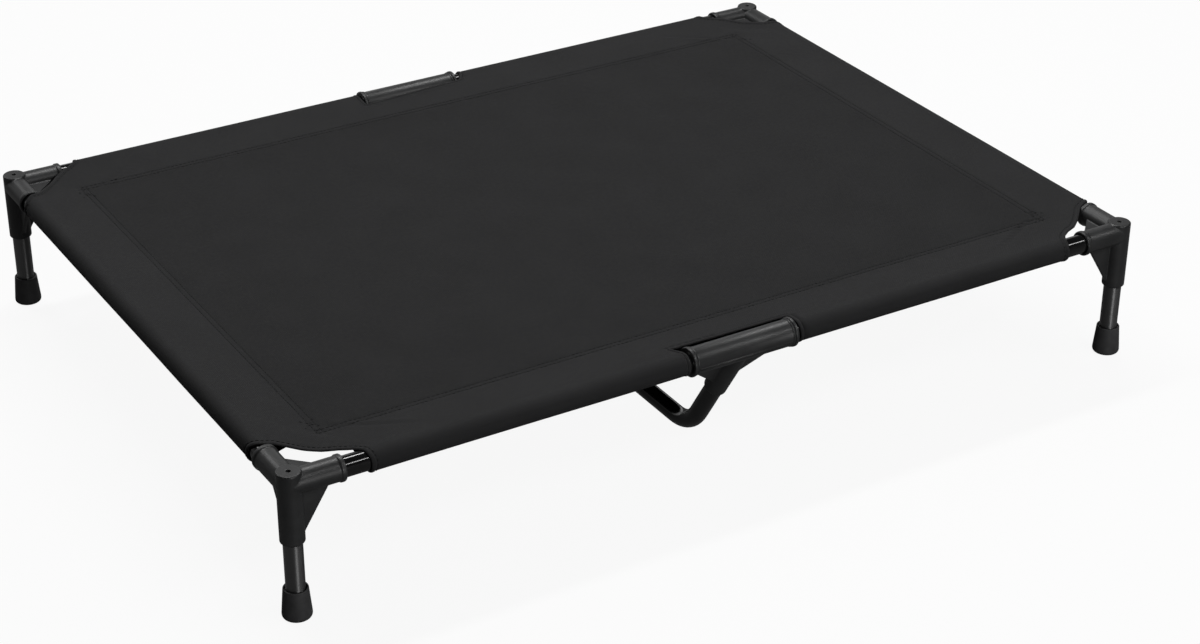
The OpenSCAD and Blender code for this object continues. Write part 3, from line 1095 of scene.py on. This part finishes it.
# Studio: a seamless pale floor that keeps a soft shadow, a white backdrop that ends in a dim ceiling,
# a strip box above the cot and another before it, a soft box behind it and a low one in front.
studio_floor, floor_shader, floor_place = new_finish("studio_floor")
floor_shader.inputs["Roughness"].default_value = 0.9
floor_shader.inputs["Specular IOR Level"].default_value = 0.0
floor_half = 20.0
floor_mesh = bpy.data.meshes.new("studio_floor")
floor_corners = [(-1, -1), (1, -1), (1, 1), (-1, 1)]
floor_mesh.from_pydata([(floor_half * x, floor_half * y, 0.0) for x, y in floor_corners], [], [(0, 1, 2, 3)])
floor = set_down("studio_floor", floor_mesh)
floor_mesh.materials.append(studio_floor)


def seen_rays(start):
    """1 on rays from the viewer, and on mirrored and refracted ones, and 0 on rays that light a surface."""
    looks = start.make("ShaderNodeLightPath", {}, result="Is Camera Ray")
    mirrored = start.make("ShaderNodeLightPath", {}, result="Is Glossy Ray")
    refracted = start.make("ShaderNodeLightPath", {}, result="Is Transmission Ray")
    return looks, looks.sum("MAXIMUM", mirrored, refracted)


bounced_grey = (0.1, 0.1, 0.1)
seen_white = (0.75, 0.75, 0.75)
clean_share = 0.92
mirrored_share = 0.07
looks, mirrors = seen_rays(floor_place)
feed(floor_shader, Base_Color=looks.tint(bounced_grey, seen_white))
clean = looks * clean_share + mirrors * mirrored_share
lit_floor = Wire(studio_floor.node_tree, floor_shader.outputs["BSDF"])
white = floor_place.make("ShaderNodeEmission", {})
seen_floor = floor_place.make("ShaderNodeMixShader", {"Fac": clean, 1: lit_floor, 2: white})
feed(studio_floor.node_tree.nodes["Material Output"], Surface=seen_floor)

studio = bpy.data.worlds.new("studio")
bpy.context.scene.world = studio
studio.use_nodes = True
air = studio.node_tree
backdrop = air.nodes["Background"]
sky_way = Wire(air, None).make("ShaderNodeTexCoord", {}, result="Generated")
height = sky_way.make("ShaderNodeSeparateXYZ", {"Vector": sky_way}, result="Z")
backdrop_turn = 0.21
backdrop_way = (math.sin(backdrop_turn), math.cos(backdrop_turn), 0.0)
backdrop_glow = (0.14, 1.0)
backdrop_edge = (0.58, 0.88)
ceiling_glow = (0.85, 0.04)
ceiling_edge = (0.06, 0.58)
fill = 0.03
rearwards = sky_way.make(
    "ShaderNodeVectorMath", {0: sky_way, 1: backdrop_way}, result="Value", operation="DOT_PRODUCT",
)
behind = rearwards.spread(*backdrop_glow, *backdrop_edge)
horizon = height.make(
    "ShaderNodeMapRange",
    {0: height, 1: ceiling_edge[0], 2: ceiling_edge[1], 3: ceiling_glow[0], 4: ceiling_glow[1]},
    interpolation_type="SMOOTHSTEP",
)
looks, mirrors = seen_rays(sky_way)
brightness = looks + (1 - looks) * (mirrors * horizon * behind + (1 - mirrors) * fill)
feed(backdrop, Strength=brightness)
backdrop.inputs["Color"].default_value = (1.0, 1.0, 1.0, 1.0)


def soft_box(name, place, aim, width, height, watts):
    """A rectangular studio light that faces a point."""
    lamp = bpy.data.lights.new(name, "AREA")
    lamp.shape = "RECTANGLE"
    lamp.size = width
    lamp.size_y = height
    lamp.energy = watts
    box = set_down(name, lamp)
    box.location = place
    box.rotation_euler = (Vector(aim) - Vector(place)).to_track_quat("-Z", "Y").to_euler()


soft_box("overhead_strip", (0.4, 0.8, 2.2), (0.4, 0.0, 0.1), width=2.1, height=0.2, watts=40.0)
soft_box("front_strip", (1.15, -1.5, 1.75), (0.6, -0.1, 0.1), width=1.9, height=0.15, watts=18.0)
soft_box("rear_key_box", (-0.8, 2.1, 2.2), (-0.1, 0.0, 0.13), width=0.8, height=0.9, watts=15.0)
soft_box("low_front_box", (-0.15, -2.7, 0.45), (0.0, 0.0, 0.08), width=0.7, height=0.5, watts=20.0)
